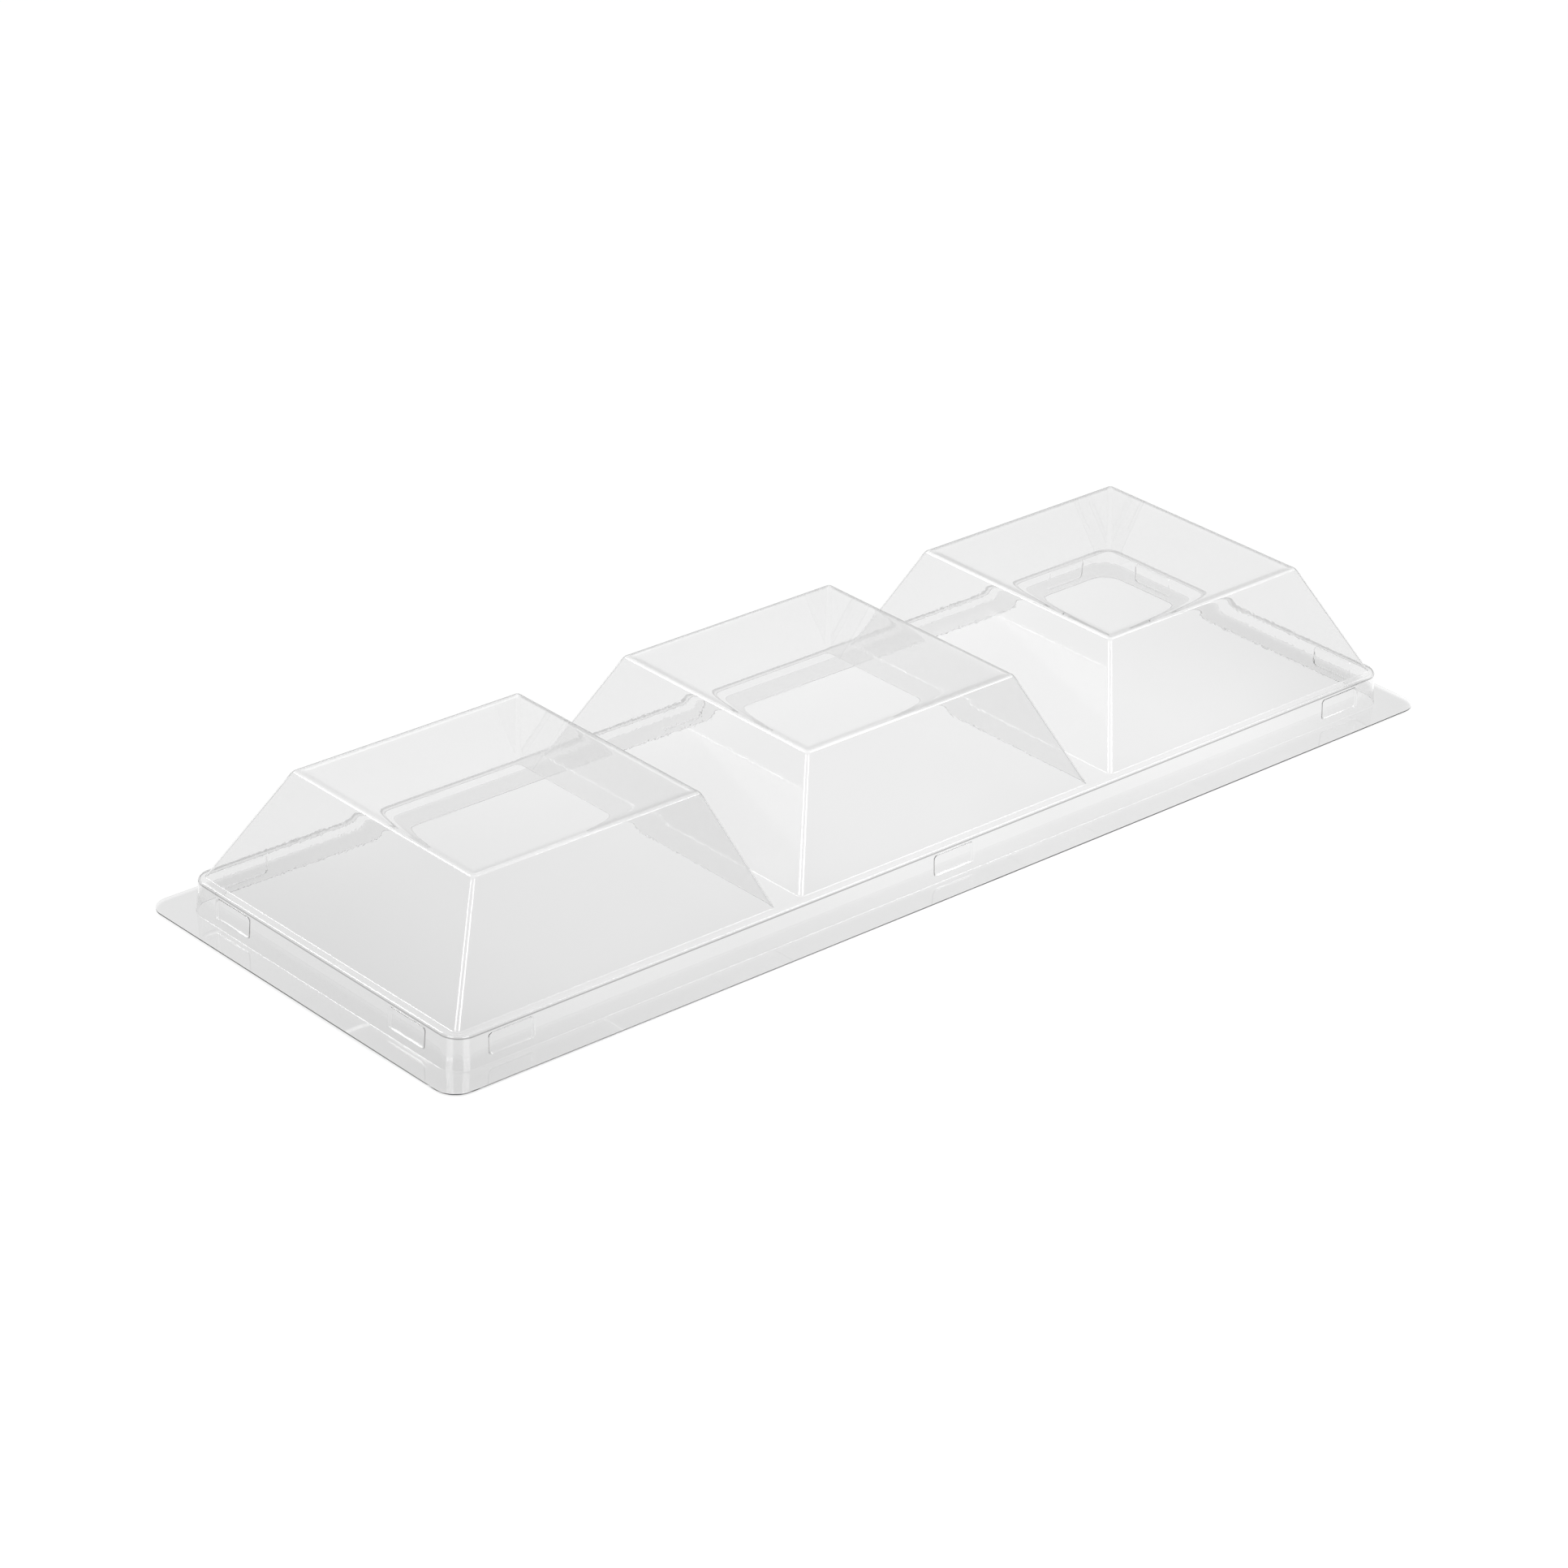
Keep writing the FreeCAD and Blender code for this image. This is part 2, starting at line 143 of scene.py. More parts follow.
def outline(low, high, corner, marks):
    """Points of a rounded rectangle from low to high. Each side's straight part carries
    its marks, and each corner CORNER_STEPS arc steps."""
    x0, y0, x1, y1 = low[0], low[1], high[0], high[1]
    corners = [(x1 - corner, y0 + corner), (x1 - corner, y1 - corner),
               (x0 + corner, y1 - corner), (x0 + corner, y0 + corner)]
    ends = [((x0 + corner, y0), (x1 - corner, y0)), ((x1, y0 + corner), (x1, y1 - corner)),
            ((x1 - corner, y1), (x0 + corner, y1)), ((x0, y1 - corner), (x0, y0 + corner))]
    points = []
    for side in range(4):
        (ax, ay), (bx, by) = ends[side]
        for mark in marks[side]:
            share = (mark + 1) / 2
            points.append((ax + (bx - ax) * share, ay + (by - ay) * share))
        cx, cy = corners[side]
        for step in range(1, CORNER_STEPS):
            turn = math.radians(-90 + 90 * side + 90 * step / CORNER_STEPS)
            points.append((cx + corner * math.cos(turn), cy + corner * math.sin(turn)))
    return np.array(points)


def side_weights(marks):
    """For each column of an outline, how much it belongs to each of the four sides."""
    rows = []
    for side in range(4):
        for _ in marks[side]:
            rows.append([1.0 if s == side else 0.0 for s in range(4)])
        for step in range(1, CORNER_STEPS):
            share = step / CORNER_STEPS
            rows.append([(1 - share) if s == side else share if s == (side + 1) % 4 else 0.0
                         for s in range(4)])
    return np.array(rows)


# Profiles: rows of (how far in, how high, tilt), where tilt 0 faces up and a quarter turn outward

def arc_rows(radius, lean, steps):
    """A round bend from level up to the lean, starting at the origin."""
    tilts = np.linspace(0, lean, steps + 1)
    return np.column_stack([radius * np.sin(tilts), radius * (1 - np.cos(tilts)), tilts])


def leaning_profile(run, height, foot_bend, head_bend, wall_levels, bend_steps):
    """A straight wall that leans in by run over height, with a round bend at each end."""
    lean = math.atan2(height, run)
    foot = arc_rows(foot_bend, lean, bend_steps)
    foot[:, 0] -= foot_bend * math.tan(lean / 2)
    head = arc_rows(head_bend, lean, bend_steps)[::-1]
    head[:, 0] = run + head_bend * math.tan(lean / 2) - head[:, 0]
    head[:, 1] = height - head[:, 1]
    wall = np.array([(run * level / height, level, lean) for level in wall_levels])
    before, after = foot[0] - (HOLD, 0, 0), head[-1] + (HOLD, 0, 0)
    return np.vstack([before, foot, wall, head, after])


def soft_edge(run, height):
    """The bend from wall to roof: mostly round, with a faint curve that runs on either way.
    Also gives each row's distance from the middle of the bend."""
    lean = math.atan2(height, run)
    half = ROOF_BEND * lean / 2
    distance = np.concatenate([-(half + TAIL_PLACES[::-1]),
                               np.linspace(-half, half, ROOF_BEND_ROWS), half + TAIL_PLACES])
    fine = np.linspace(distance[0], distance[-1], EDGE_SAMPLES)
    turn = (1 - TAIL_SHARE) * np.clip(fine / half, -1, 1) + TAIL_SHARE * np.tanh(fine / BEND_TAIL)
    tilt = lean * (1 - turn) / 2
    step = fine[1] - fine[0]
    inward = np.concatenate([[0], np.cumsum(np.cos(tilt[:-1]) * step)])
    level = np.concatenate([[0], np.cumsum(np.sin(tilt[:-1]) * step)])
    level += height - level[-1]
    inward += run * level[0] / height - inward[0]
    rows = np.column_stack([np.interp(distance, fine, v) for v in (inward, level, tilt)])
    return rows, distance


def dome_profile(run, height):
    """Rows from the deck up the wall to the roof, each with its thickness and its ripple."""
    lean = math.atan2(height, run)
    foot = arc_rows(FOOT_BEND, lean, FOOT_STEPS)
    foot[:, 0] -= FOOT_BEND * math.tan(lean / 2)
    edge, distance = soft_edge(run, height)
    levels = np.linspace(WALL_ROWS_START, height - WALL_ROWS_END, WALL_ROWS)
    wall = np.column_stack([run * levels / height, levels, np.full(len(levels), lean)])
    rows = np.vstack([foot[0] - (HOLD, 0, 0), foot, wall, edge])
    gauge = np.full(len(rows), WALL_GAUGE)
    share = (1 + np.tanh(distance / EDGE_THINNING_REACH)) / 2
    dip = 1 - EDGE_THINNING * np.exp(-((distance / EDGE_THINNING_REACH) ** 2))
    gauge[-len(edge):] = (WALL_GAUGE + (ROOF_GAUGE - WALL_GAUGE) * share) * dip
    ripple = np.concatenate([np.zeros(len(foot) + 1), np.ones(len(wall)),
                             np.clip(-distance / RIPPLE_FADE - RIPPLE_MARGIN, 0, 1)])
    return np.column_stack([rows, gauge, ripple])


class Sheet:
    """The sheet's two faces, collected zone by zone: each vertex has an upper and a lower place."""

    def __init__(self):
        self.upper, self.lower, self.ripple, self.shade = [], [], [], []
        self.faces, self.rim = [], []

    def add_vertices(self, upper, lower, ripple=None, shade=None):
        """Add vertices; ripple is how uneven the lower face is at each and shade how much
        painted shade darkens the sheet there, both from 0 to 1."""
        start = len(self.upper)
        self.ripple.extend([0.0] * len(upper) if ripple is None else ripple)
        self.shade.extend([0.0] * len(upper) if shade is None else shade)
        self.upper.extend(map(tuple, upper))
        self.lower.extend(map(tuple, lower))
        return list(range(start, start + len(upper)))

    def join_rings(self, outer, inner):
        """Join two rings that have the same columns by a band of four-sided faces."""
        count = len(outer)
        for i in range(count):
            j = (i + 1) % count
            self.faces.append((outer[i], outer[j], inner[j], inner[i]))

    def fill_flat(self, rings, inside, height, gauge, grid_points=()):
        """Triangulate the level area bounded by the rings, keeping faces whose middle is inside."""
        flat = [Vector(self.upper[i][:2]) for ring in rings for i in ring]
        known = [i for ring in rings for i in ring]
        extra = [Vector(p) for p in grid_points]
        edges, start = [], 0
        for ring in rings:
            size = len(ring)
            edges += [(start + i, start + (i + 1) % size) for i in range(size)]
            start += size
        if extra:
            known += self.add_vertices([(p.x, p.y, height) for p in extra],
                                       [(p.x, p.y, height - gauge) for p in extra])
        result = delaunay_2d_cdt(flat + extra, edges, [], 0, 1e-9)
        places, triangles, sources = result[0], result[2], result[3]
        index = [known[source[0]] for source in sources]
        for triangle in triangles:
            middle = sum((places[i] for i in triangle), Vector((0, 0))) / 3
            if inside(middle):
                ring = [index[i] for i in triangle]
                a, b, c = (Vector(self.upper[i][:2]) for i in ring)
                if (b - a).cross(c - a) < 0:
                    ring.reverse()
                self.faces.append(tuple(ring))


sheet = Sheet()


# The skirt and flange: one set of rings from the trimmed edge in to the deck.
# The lugs are pressed into the wall rows.

def lug_place(node):
    """The middle of a lug's box and its size."""
    low, high = (Vector(corner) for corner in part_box(node))
    return (low + high) / 2, high - low


lugs = [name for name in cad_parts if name.startswith("snap_lug_")]
first_middle, first_size = lug_place(lugs[0])
lug_level = first_middle.z
lug_height = first_size.z
lug_length = max(first_size)
lug_by_side = [[], [], [], []]
for name in lugs:
    middle, _ = lug_place(name)
    if abs(middle.y) > skirt_half.y - LUG_TO_WALL:
        lug_by_side[0 if middle.y < 0 else 2].append(middle.x * (1 if middle.y < 0 else -1))
    else:
        lug_by_side[1 if middle.x > 0 else 3].append(middle.y * (1 if middle.x > 0 else -1))


def close_marks(half_length, lug_half, places):
    """Marks along a side that follow each lug's rounded corners and slopes closely."""
    inward = np.arange(-3 * LUG_GRID, LUG_CORNER + LUG_SLOPE + LUG_GRID, LUG_GRID)
    marks = []
    for place in places:
        marks += list((place - lug_half + inward) / half_length) + [place / half_length]
        marks += list((place + lug_half - inward) / half_length)
    return marks


straight = [skirt_half.x - SKIRT_CORNER, skirt_half.y - SKIRT_CORNER]
skirt_marks = [side_marks(close_marks(straight[side % 2], lug_length / 2, lug_by_side[side]),
                          SKIRT_SIDE_STEPS[side % 2]) for side in range(4)]


def press_lugs(z, side_of_column, along, spread):
    """How far each wall point is pressed in; spread widens the lugs for the sheet's back."""
    depth = np.zeros(len(z))
    for column, (side, s) in enumerate(zip(side_of_column, along)):
        if side is None:
            continue
        for place in lug_by_side[side]:
            qx = abs(s - place) - (lug_length / 2 + spread - LUG_CORNER)
            qz = abs(z[column] - lug_level) - (lug_height / 2 + spread - LUG_CORNER)
            outside = math.hypot(max(qx, 0), max(qz, 0)) + min(max(qx, qz), 0) - LUG_CORNER
            share = min(max(-outside / LUG_SLOPE, 0), 1)
            depth[column] = max(depth[column], LUG_DEPTHS[side] * share * share * (3 - 2 * share))
    return depth


def make_skirt():
    """Add the flange and the skirt, and give the ring where the deck starts."""
    side_of_column, along, outward = [], [], []
    normals = [(0, -1), (1, 0), (0, 1), (-1, 0)]
    for side in range(4):
        for mark in skirt_marks[side]:
            side_of_column.append(side)
            along.append(mark * straight[side % 2])
            outward.append(normals[side])
        for step in range(1, CORNER_STEPS):
            turn = math.radians(-90 + 90 * side + 90 * step / CORNER_STEPS)
            side_of_column.append(None)
            along.append(0.0)
            outward.append((math.cos(turn), math.sin(turn)))
    outward = np.array(outward)

    rise = deck_top - flange_top
    reach = lug_height / 2 + 3 * LUG_GRID
    levels = lug_level - flange_top + np.arange(-reach, reach + LUG_GRID / 2, LUG_GRID)
    levels = [level for level in levels if level < rise - DECK_BEND - 1.5 * SHADE_LINE]
    levels += [rise - DECK_BEND - share * SHADE_LINE for share in SHADE_ROWS]
    rows = leaning_profile(SKIRT_FLARE, rise, FLANGE_BEND, DECK_BEND, levels, HEAD_STEPS)

    def ring(reach, z, press_spread=None):
        """A ring of the skirt, reach out from its top, with the lugs pressed in if asked."""
        half = skirt_half + Vector((reach, reach))
        plan = outline(-half, half, SKIRT_CORNER + reach, skirt_marks)
        heights = np.full(len(plan), z)
        if press_spread is not None:
            depth = press_lugs(heights, side_of_column, along, press_spread)
            plan = plan - outward * depth[:, None]
        return np.column_stack([plan, heights])

    trimmed = outline(-flange_half, flange_half, FLANGE_CORNER, skirt_marks)
    first_reach = SKIRT_FLARE - rows[0][0]
    rings = []
    for share in FLANGE_RING_SHARES:
        foot = outline(*(s * (skirt_half + Vector((first_reach, first_reach))) for s in (-1, 1)),
                       SKIRT_CORNER + first_reach, skirt_marks)
        plan = trimmed * (1 - share) + foot * share
        top = np.column_stack([plan, np.full(len(plan), flange_top)])
        rings.append(sheet.add_vertices(top, top - np.array([0, 0, GAUGE])))
    # Painted shade on the skirt walls, side by side: most on the left wall, a little on the front
    haze_and_painted_shade = side_weights(skirt_marks) @ np.array(SKIRT_PAINTED_SHADES)
    for inward, level, tilt in rows:
        reach = SKIRT_FLARE - inward
        pressed = tilt > STEEP and 0 < level < rise
        back = GAUGE * math.sin(tilt)
        upper = ring(reach, flange_top + level, 0.0 if pressed else None)
        lower = ring(reach - back, flange_top + level - GAUGE * math.cos(tilt),
                     LUG_BACK_SPREAD if pressed else None)
        # A painted dark line of shade just below the deck bend
        below_head = (rise - level - DECK_BEND) / SHADE_LINE
        line = math.exp(-(below_head ** 2)) if level > rise / 2 else 0.0
        shade = np.maximum(line, haze_and_painted_shade * math.sin(tilt))
        rings.append(sheet.add_vertices(upper, lower, shade=shade))
    for outer, inner in zip(rings, rings[1:]):
        sheet.join_rings(outer, inner)
    sheet.rim = rings[0]
    return rings[-1]


# The domes: rings from the deck up over the foot bend, the wall and the roof bend

def make_dome(node, left_run, right_run):
    """Add a dome with its roof, and give the ring where it meets the deck."""
    low, high = (Vector(corner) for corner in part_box(node))
    height = high.z - deck_top
    runs = [SIDE_RUN, right_run, SIDE_RUN, left_run]
    profiles = [dome_profile(run, height) for run in runs]
    near = 1 - RIDGE_MARGIN / (high.x - low.x) * 2
    marks = [side_marks([-near, near], DOME_SIDE_STEPS)] * 4
    weights = side_weights(marks)
    away_from_ridges = np.concatenate([
        [float(abs(mark) <= near) for mark in side] + [0.0] * (CORNER_STEPS - 1) for side in marks])
    rings = []
    for row in range(len(profiles[0])):
        parts = np.array([profile[row] for profile in profiles])
        inward, level, tilt, gauge, ripple = parts.T
        beyond = inward - np.array(runs) * level / height
        corner = FOOT_CORNER + (ROOF_CORNER - FOOT_CORNER) * level.mean() / height - beyond.mean()
        corner = max(corner, LEAST_CORNER)
        for face in (0, 1):
            back = gauge * np.sin(tilt) * face
            half_low = (low.x + inward[3] + back[3], low.y + inward[0] + back[0])
            half_high = (high.x - inward[1] - back[1], high.y - inward[2] - back[2])
            plan = outline(half_low, half_high, corner - back.mean(), marks)
            z = weights @ (deck_top + level - gauge * np.cos(tilt) * face)
            if face == 0:
                upper = np.column_stack([plan, z])
            else:
                lower = np.column_stack([plan, z])
        rings.append(sheet.add_vertices(upper, lower, away_from_ridges * ripple.mean()))
    for outer, inner in zip(rings, rings[1:]):
        sheet.join_rings(outer, inner)

    roof = rings[-1]
    edge = np.array([sheet.upper[i][:2] for i in roof])
    x0, y0 = edge.min(axis=0)
    x1, y1 = edge.max(axis=0)
    inset = ROOF_GRID_INSET
    grid = [(x, y) for x in np.linspace(x0 + inset, x1 - inset, ROOF_GRID)
            for y in np.linspace(y0 + inset, y1 - inset, ROOF_GRID)]
    sheet.fill_flat([roof], lambda p: x0 < p.x < x1 and y0 < p.y < y1, deck_top + height,
                    ROOF_GAUGE, grid)
    return rings[0]


deck_ring = make_skirt()
dome_rings = [
    make_dome("dome_left", END_OUTER_RUN, END_INNER_RUN),
    make_dome("dome_middle", MIDDLE_RUN, MIDDLE_RUN),
    make_dome("dome_right", END_INNER_RUN, END_OUTER_RUN),
]


def inside_ring(ring, p):
    """Whether a point lies inside a ring of the sheet's vertices, in plan."""
    inside = False
    for i, j in zip(ring, ring[1:] + ring[:1]):
        (ax, ay, _), (bx, by, _) = sheet.upper[i], sheet.upper[j]
        if (ay > p.y) != (by > p.y) and p.x < (bx - ax) * (p.y - ay) / (by - ay) + ax:
            inside = not inside
    return inside


sheet.fill_flat(
    [deck_ring] + dome_rings,
    lambda p: inside_ring(deck_ring, p) and not any(inside_ring(ring, p) for ring in dome_rings),
    deck_top, GAUGE,
)


def build_object(name):
    """Bow the sheet and make its two faces and its trimmed edge one closed mesh."""
    upper, lower = np.array(sheet.upper), np.array(sheet.lower)
    for face in (upper, lower):
        face[:, 2] += BOW * face[:, 0] ** 2
    count = len(upper)
    faces = [tuple(face) for face in sheet.faces]
    faces += [tuple(count + i for i in reversed(face)) for face in sheet.faces]
    for i, j in zip(sheet.rim, sheet.rim[1:] + sheet.rim[:1]):
        faces.append((j, i, count + i, count + j))
    mesh = bpy.data.meshes.new(name)
    mesh.from_pydata(np.vstack([upper, lower]).tolist(), [], faces)
    mesh.validate()
    mesh.polygons.foreach_set("use_smooth", [True] * len(mesh.polygons))
    mesh.set_sharp_from_angle(angle=SHARP_ANGLE)
    ripple = mesh.attributes.new("ripple", "FLOAT", "POINT")
    ripple.data.foreach_set("value", [0.0] * count + sheet.ripple)
    shade = mesh.attributes.new("shade", "FLOAT", "POINT")
    shade.data.foreach_set("value", sheet.shade * 2)
    made = bpy.data.objects.new(name, mesh)
    bpy.context.scene.collection.objects.link(made)
    return made


dome_sheet = build_object("formed_clear_sheet")


# The material: clear, colourless PET. The sheet's two faces are not quite parallel, so what is
# seen through it wavers: finely through the drawn walls and hardly at all through the flat roofs.

PET_IOR = 1.57
TINTS = ((0.953, 0.953, 0.953, 1), (0.968, 0.968, 0.968, 1))
# The colour of the painted shade, at edges seen edge-on and along the shade marks
PAINTED_SHADE_COLOUR = (0.3, 0.3, 0.3, 1)
EDGE_ON_START = 0.76
EDGE_ON_SHARE = 0.7
HAZE_ROUGHNESS = 0.06
FINE_RIPPLE = 0.012 * MM
COARSE_RIPPLE = 0.008 * MM

# Noise scales, per metre: tint patches, haze specks, fine ripple and coarse ripple
TINT_SCALE = 25.0
HAZE_SCALE = 70.0
FINE_SCALE = 900.0
COARSE_SCALE = 60.0


def add_node(tree, kind, **settings):
    """Add a shader node and set its inputs; an underscore stands for a space in their names."""
    node = tree.nodes.new(kind)
    for name, value in settings.items():
        node.inputs[name.replace("_", " ")].default_value = value
    return node


def clear_sheet_material():
    material = bpy.data.materials.new("clear_sheet")
    material.use_nodes = True
    tree = material.node_tree
    links = tree.links
    shader = tree.nodes["Principled BSDF"]
    shader.inputs["Transmission Weight"].default_value = 1.0
    shader.inputs["IOR"].default_value = PET_IOR
    place = tree.nodes.new("ShaderNodeTexCoord")

    def noise(scale, detail):
        node = add_node(tree, "ShaderNodeTexNoise", Scale=scale, Detail=detail)
        links.new(place.outputs["Object"], node.inputs["Vector"])
        return node.outputs["Fac"]

    tint = tree.nodes.new("ShaderNodeMix")
    tint.data_type = "RGBA"
    tint.inputs["A"].default_value, tint.inputs["B"].default_value = TINTS
    links.new(noise(TINT_SCALE, 4.0), tint.inputs["Factor"])

    # Painted shade: the sheet's colour is darkened where it is seen edge-on, and where the shade
    # attribute marks a painted dark line or painted wall shade
    edge_on = add_node(tree, "ShaderNodeLayerWeight", Blend=0.5)
    edge = add_node(tree, "ShaderNodeMapRange", From_Min=EDGE_ON_START, From_Max=1.0,
                    To_Max=EDGE_ON_SHARE)
    links.new(edge_on.outputs["Facing"], edge.inputs["Value"])
    shade = tree.nodes.new("ShaderNodeAttribute")
    shade.attribute_name = "shade"
    darker = tree.nodes.new("ShaderNodeMath")
    darker.operation = "MAXIMUM"
    links.new(edge.outputs["Result"], darker.inputs[0])
    links.new(shade.outputs["Fac"], darker.inputs[1])
    colour = tree.nodes.new("ShaderNodeMix")
    colour.data_type = "RGBA"
    colour.inputs["B"].default_value = PAINTED_SHADE_COLOUR
    links.new(darker.outputs["Value"], colour.inputs["Factor"])
    links.new(tint.outputs["Result"], colour.inputs["A"])
    links.new(colour.outputs["Result"], shader.inputs["Base Color"])

    haze_and_painted_shade = add_node(tree, "ShaderNodeMapRange", From_Min=0.45, From_Max=0.8, To_Min=0.0,
                    To_Max=HAZE_ROUGHNESS)
    links.new(noise(HAZE_SCALE, 6.0), haze_and_painted_shade.inputs["Value"])
    links.new(haze_and_painted_shade.outputs["Result"], shader.inputs["Roughness"])

    ripple = tree.nodes.new("ShaderNodeAttribute")
    ripple.attribute_name = "ripple"
    fine = add_node(tree, "ShaderNodeBump", Distance=FINE_RIPPLE)
    coarse = add_node(tree, "ShaderNodeBump", Strength=1.0, Distance=COARSE_RIPPLE)
    links.new(ripple.outputs["Fac"], fine.inputs["Strength"])
    links.new(noise(FINE_SCALE, 2.0), fine.inputs["Height"])
    links.new(noise(COARSE_SCALE, 2.0), coarse.inputs["Height"])
    links.new(coarse.outputs["Normal"], fine.inputs["Normal"])
    links.new(fine.outputs["Normal"], shader.inputs["Normal"])
    return material


dome_sheet.data.materials.append(clear_sheet_material())
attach(dome_sheet, "root")
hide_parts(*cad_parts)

# The stage: a plain white floor that glows evenly where it is bare, with a painted shadow under the
# sheet where its glow is dimmed, standing for the light the sheet holds back, and soft studio light

FLOOR_SIZE = 30.0
FLOOR_DROP = 0.0002
FLOOR_GLOW = 1.01

# The painted shadow under the sheet: how far its occlusion test reaches, and how open the floor is
# where the shadow starts and ends. It is tilted to fall a little towards the rear, as if the light
# came mostly from the front left.
SHELTER_REACH = 0.12
SHELTER_RANGE = (0.36, 0.6)
SHELTER_SIDE = (-0.339, -0.368, 0.866)
SHELTER_HALF_LENGTH = 0.17

# The same for the closer painted shade beside the flange and the skirt, from the front to the rear;
# at the rear it is a faint painted light
CLOSE_REACH = 0.03
CLOSE_RANGE = (0.0, 0.75)
CLOSE_SHADES = (0.9, 1.05)
CLOSE_HALF_WIDTH = 0.055
OPEN_SAMPLES = 5

# The bare floor in front shines a little, from one place across to the other
FLOOR_SHINE = 0.25
SHINE_START = -0.03
SHINE_FULL = -0.055

# Painted shadow levels: the light left on the floor under the sheet, from its left end to its right
# end
SHELTER_LEVELS = ((0.0, 0.79), (0.07, 0.80), (0.18, 0.86), (0.5, 0.95), (0.82, 0.98), (1.0, 0.92))


def fill_ramp(node, levels):
    """Give a colour ramp grey stops at (position, level)."""
    elements = node.color_ramp.elements
    while len(elements) < len(levels):
        elements.new(0.5)
    for element, (position, level) in zip(elements, levels):
        element.position = position
        element.color = (level, level, level, 1)


def make_floor():
    """Make the floor, which gives a light of its own, even where bare and dimmed by a painted shadow
    under the sheet, and reflects a little in front.
    """
    mesh = bpy.data.meshes.new("floor")
    half = FLOOR_SIZE / 2
    mesh.from_pydata([(-half, -half, 0), (half, -half, 0), (half, half, 0), (-half, half, 0)], [],
                     [(0, 1, 2, 3)])
    floor = bpy.data.objects.new("floor", mesh)
    floor.location.z = -FLOOR_DROP
    bpy.context.scene.collection.objects.link(floor)
    material = bpy.data.materials.new("floor_white")
    material.use_nodes = True
    tree = material.node_tree
    links = tree.links
    tree.nodes.clear()
    output = tree.nodes.new("ShaderNodeOutputMaterial")
    glow = add_node(tree, "ShaderNodeEmission", Color=(1, 1, 1, 1))
    shine = add_node(tree, "ShaderNodeBsdfGlossy", Roughness=0.2)
    both = tree.nodes.new("ShaderNodeAddShader")
    links.new(glow.outputs["Emission"], both.inputs[0])
    links.new(shine.outputs["BSDF"], both.inputs[1])
    links.new(both.outputs["Shader"], output.inputs["Surface"])

    place = tree.nodes.new("ShaderNodeTexCoord")
    split = tree.nodes.new("ShaderNodeSeparateXYZ")
    links.new(place.outputs["Object"], split.inputs["Vector"])
    across = add_node(tree, "ShaderNodeMapRange", From_Min=-SHELTER_HALF_LENGTH,
                      From_Max=SHELTER_HALF_LENGTH)
    links.new(split.outputs["X"], across.inputs["Value"])
    shelter = tree.nodes.new("ShaderNodeValToRGB")
    fill_ramp(shelter, SHELTER_LEVELS)
    links.new(across.outputs["Result"], shelter.inputs["Fac"])

    def open_share(reach, between, towards=(0, 0, 1)):
        """How open the floor is, by an occlusion test: 0 where the sheet is close above it, 1 in the
        open. It drives the floor's painted shadow and its shine.
        """
        cover = add_node(tree, "ShaderNodeAmbientOcclusion", Distance=reach)
        cover.samples = OPEN_SAMPLES
        side = add_node(tree, "ShaderNodeCombineXYZ", X=towards[0], Y=towards[1], Z=towards[2])
        links.new(side.outputs["Vector"], cover.inputs["Normal"])
        share = add_node(tree, "ShaderNodeMapRange", From_Min=between[0], From_Max=between[1])
        links.new(cover.outputs["AO"], share.inputs["Value"])
        return share.outputs["Result"]

    # The floor's glow, dimmed by a painted shadow where the sheet covers it
    bright = add_node(tree, "ShaderNodeMapRange", To_Max=FLOOR_GLOW)
    bare = open_share(SHELTER_REACH, SHELTER_RANGE, SHELTER_SIDE)
    links.new(bare, bright.inputs["Value"])
    in_front = add_node(tree, "ShaderNodeMapRange", From_Min=SHINE_START, From_Max=SHINE_FULL,
                        To_Max=FLOOR_SHINE)
    links.new(split.outputs["Y"], in_front.inputs["Value"])
    shine_share = add_node(tree, "ShaderNodeMapRange")
    links.new(bare, shine_share.inputs["Value"])
    links.new(in_front.outputs["Result"], shine_share.inputs["To Max"])
    links.new(shine_share.outputs["Result"], shine.inputs["Color"])
    links.new(shelter.outputs["Color"], bright.inputs["To Min"])
    # A closer painted shade beside the flange and the skirt, turning to a faint painted light at the
    # rear
    close = add_node(tree, "ShaderNodeMapRange", To_Max=1.0)
    links.new(open_share(CLOSE_REACH, CLOSE_RANGE), close.inputs["Value"])
    shade = add_node(tree, "ShaderNodeMapRange", From_Min=-CLOSE_HALF_WIDTH,
                     From_Max=CLOSE_HALF_WIDTH, To_Min=CLOSE_SHADES[0], To_Max=CLOSE_SHADES[1])
    links.new(split.outputs["Y"], shade.inputs["Value"])
    links.new(shade.outputs["Result"], close.inputs["To Min"])
    product = tree.nodes.new("ShaderNodeMath")
    product.operation = "MULTIPLY"
    links.new(bright.outputs["Result"], product.inputs[0])
    links.new(close.outputs["Result"], product.inputs[1])
    links.new(product.outputs["Value"], glow.inputs["Strength"])
    mesh.materials.append(material)


make_floor()


SOFTBOX_DISTANCE = 1.6

# Name, azimuth and elevation in degrees, width and height in metres, and radiance
SOFTBOXES = (
    ("left_softbox", 190, 26, 0.8, 0.7, 4.0),
    ("right_softbox", 262, 26, 0.8, 0.7, 4.0),
    ("rear_softbox", 48, 39, 0.5, 0.18, 1.3),
    ("side_softbox", 120, 41, 0.5, 0.36, 6.0),
    ("front_softbox", -34, 43, 0.45, 0.3, 5.0),
)


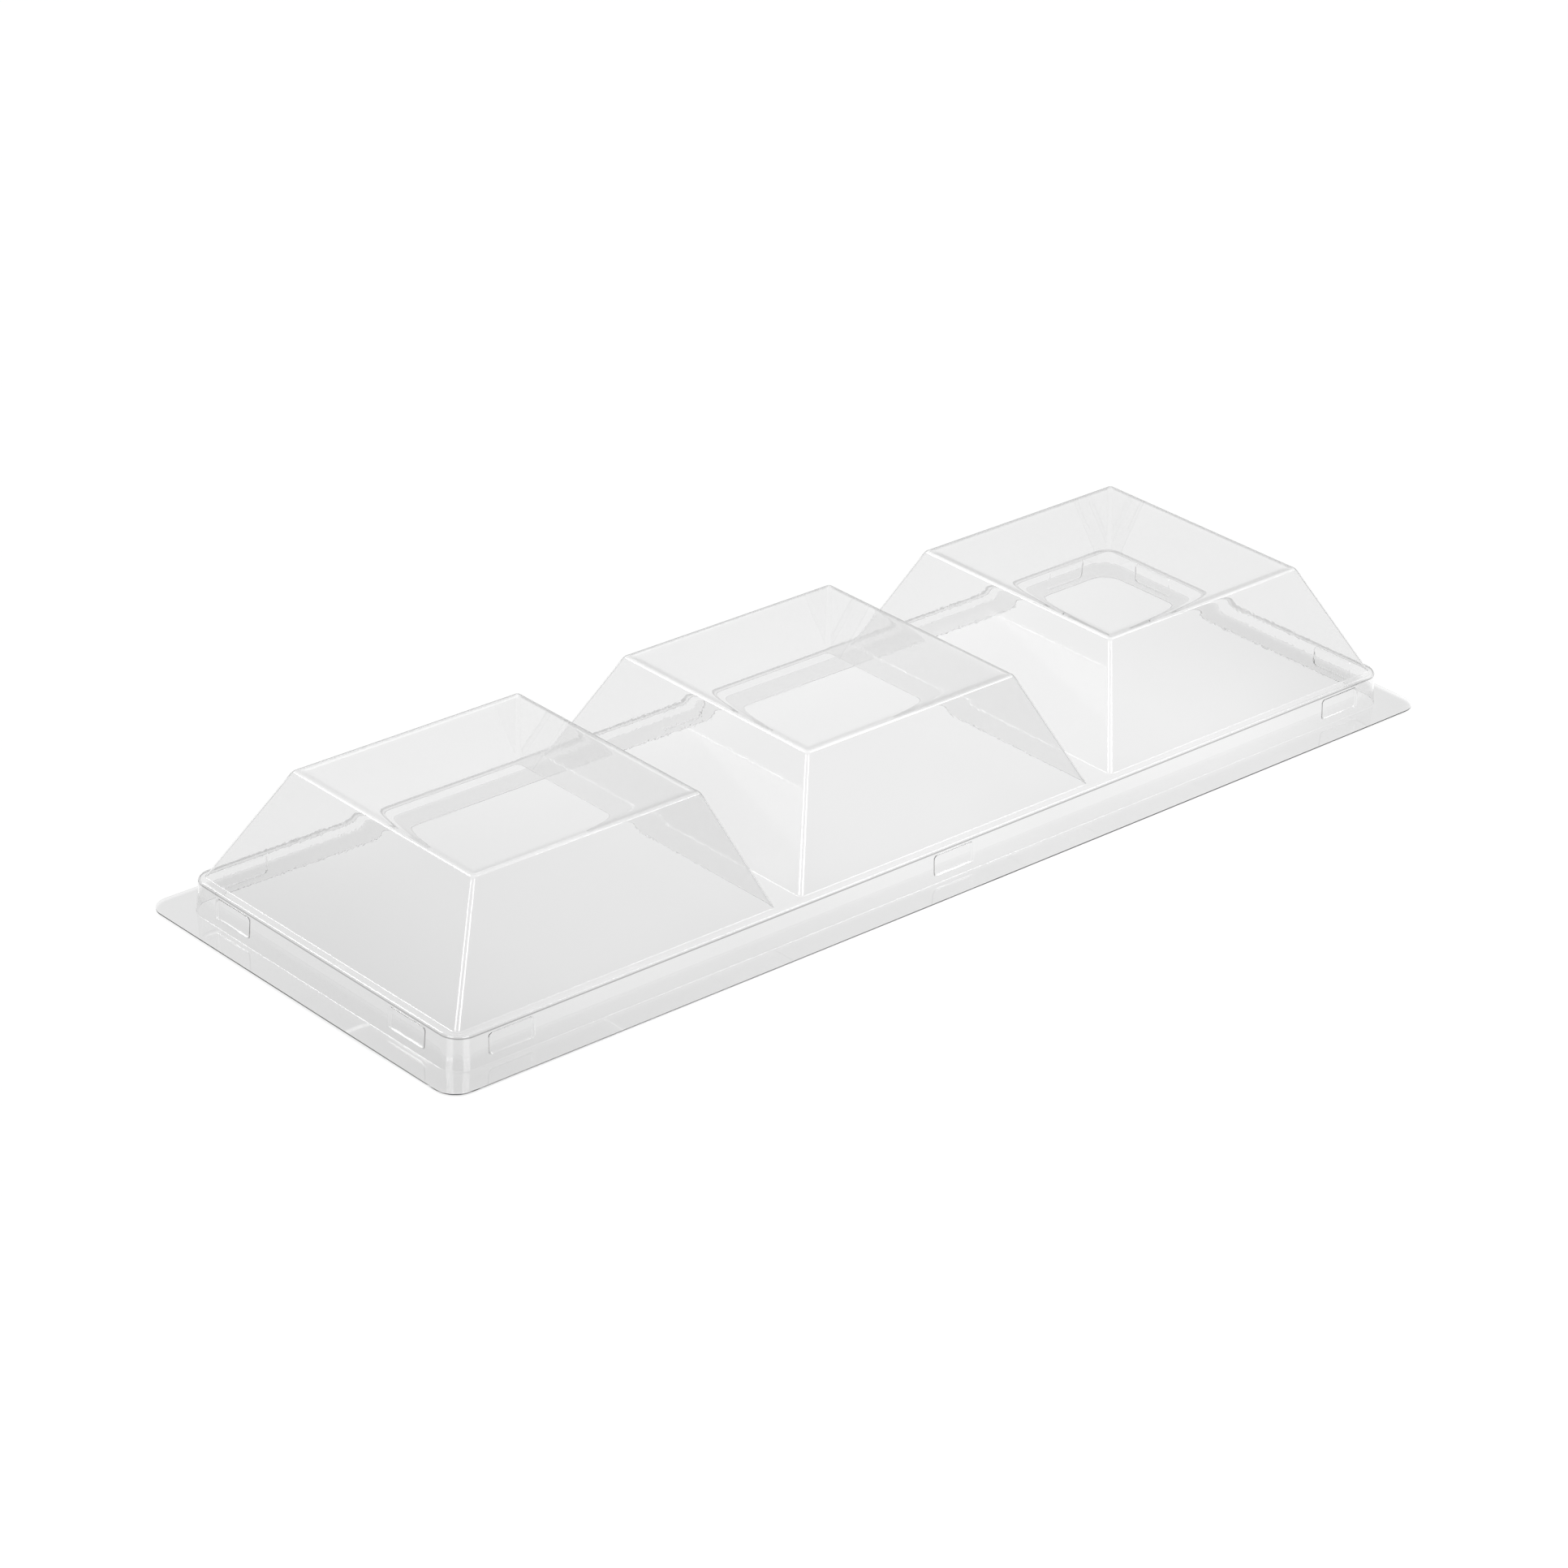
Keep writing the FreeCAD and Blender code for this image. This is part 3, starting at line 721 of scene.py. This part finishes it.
def add_softbox(name, azimuth, elevation, width, height, radiance):
    """A rectangular light that faces the origin, azimuth counted from +X towards +Y."""
    light = bpy.data.lights.new(name, "AREA")
    light.shape = "RECTANGLE"
    light.size, light.size_y = width, height
    light.energy = radiance * math.pi * width * height
    made = bpy.data.objects.new(name, light)
    az, el = math.radians(azimuth), math.radians(elevation)
    towards = Vector((math.cos(az) * math.cos(el), math.sin(az) * math.cos(el), math.sin(el)))
    place = towards * SOFTBOX_DISTANCE
    made.location = place
    made.rotation_euler = (-place).to_track_quat("-Z", "Y").to_euler()
    bpy.context.scene.collection.objects.link(made)


for softbox in SOFTBOXES:
    add_softbox(*softbox)

# The studio round it: dim low down, brighter behind and bright overhead
STUDIO_AXIS = (0.136, 0.146, 1.0)
STUDIO_STRENGTH = 1.1
STUDIO_LEVELS = ((0.0, 0.27), (0.32, 0.27), (0.63, 0.62), (0.8, 0.85), (1.0, 1.0))


def make_studio():
    world = bpy.data.worlds.new("studio")
    world.use_nodes = True
    tree = world.node_tree
    background = tree.nodes["Background"]
    background.inputs["Strength"].default_value = STUDIO_STRENGTH
    place = tree.nodes.new("ShaderNodeTexCoord")
    along = tree.nodes.new("ShaderNodeVectorMath")
    along.operation = "DOT_PRODUCT"
    along.inputs[1].default_value = STUDIO_AXIS
    ramp = tree.nodes.new("ShaderNodeValToRGB")
    fill_ramp(ramp, STUDIO_LEVELS)
    tree.links.new(place.outputs["Generated"], along.inputs[0])
    tree.links.new(along.outputs["Value"], ramp.inputs["Fac"])
    tree.links.new(ramp.outputs["Color"], background.inputs["Color"])
    bpy.context.scene.world = world


make_studio()

# The camera, its azimuth counted from +Y towards +X, and its lens in millimetres

CAMERA_AZIMUTH = 42.685
CAMERA_ELEVATION = 26.920
CAMERA_ROLL = 1.944
CAMERA_PLACE = Vector((-0.78679, -0.84151, 0.59008))
CAMERA_LENS = 114.45
CAMERA_SENSOR = 36.0


def make_camera():
    az, el, roll = (math.radians(a) for a in (CAMERA_AZIMUTH, CAMERA_ELEVATION, CAMERA_ROLL))
    ahead = Vector((math.sin(az) * math.cos(el), math.cos(az) * math.cos(el), -math.sin(el)))
    right = Vector((math.cos(az), -math.sin(az), 0))
    up = right.cross(ahead)
    tilted_right = right * math.cos(roll) + up * math.sin(roll)
    tilted_up = up * math.cos(roll) - right * math.sin(roll)
    data = bpy.data.cameras.new("camera")
    data.lens = CAMERA_LENS
    data.sensor_width = CAMERA_SENSOR
    data.clip_start = 0.01
    camera = bpy.data.objects.new("camera", data)
    camera.matrix_world = Matrix.Translation(CAMERA_PLACE) @ Matrix(
        (tilted_right, tilted_up, -ahead)).transposed().to_4x4()
    bpy.context.scene.collection.objects.link(camera)
    bpy.context.scene.camera = camera


make_camera()

# Light passes many faces of the clear sheet, so it may bounce often

scene = bpy.context.scene
scene.view_settings.view_transform = "Standard"
scene.cycles.max_bounces = 32
scene.cycles.transmission_bounces = 32
scene.cycles.glossy_bounces = 12
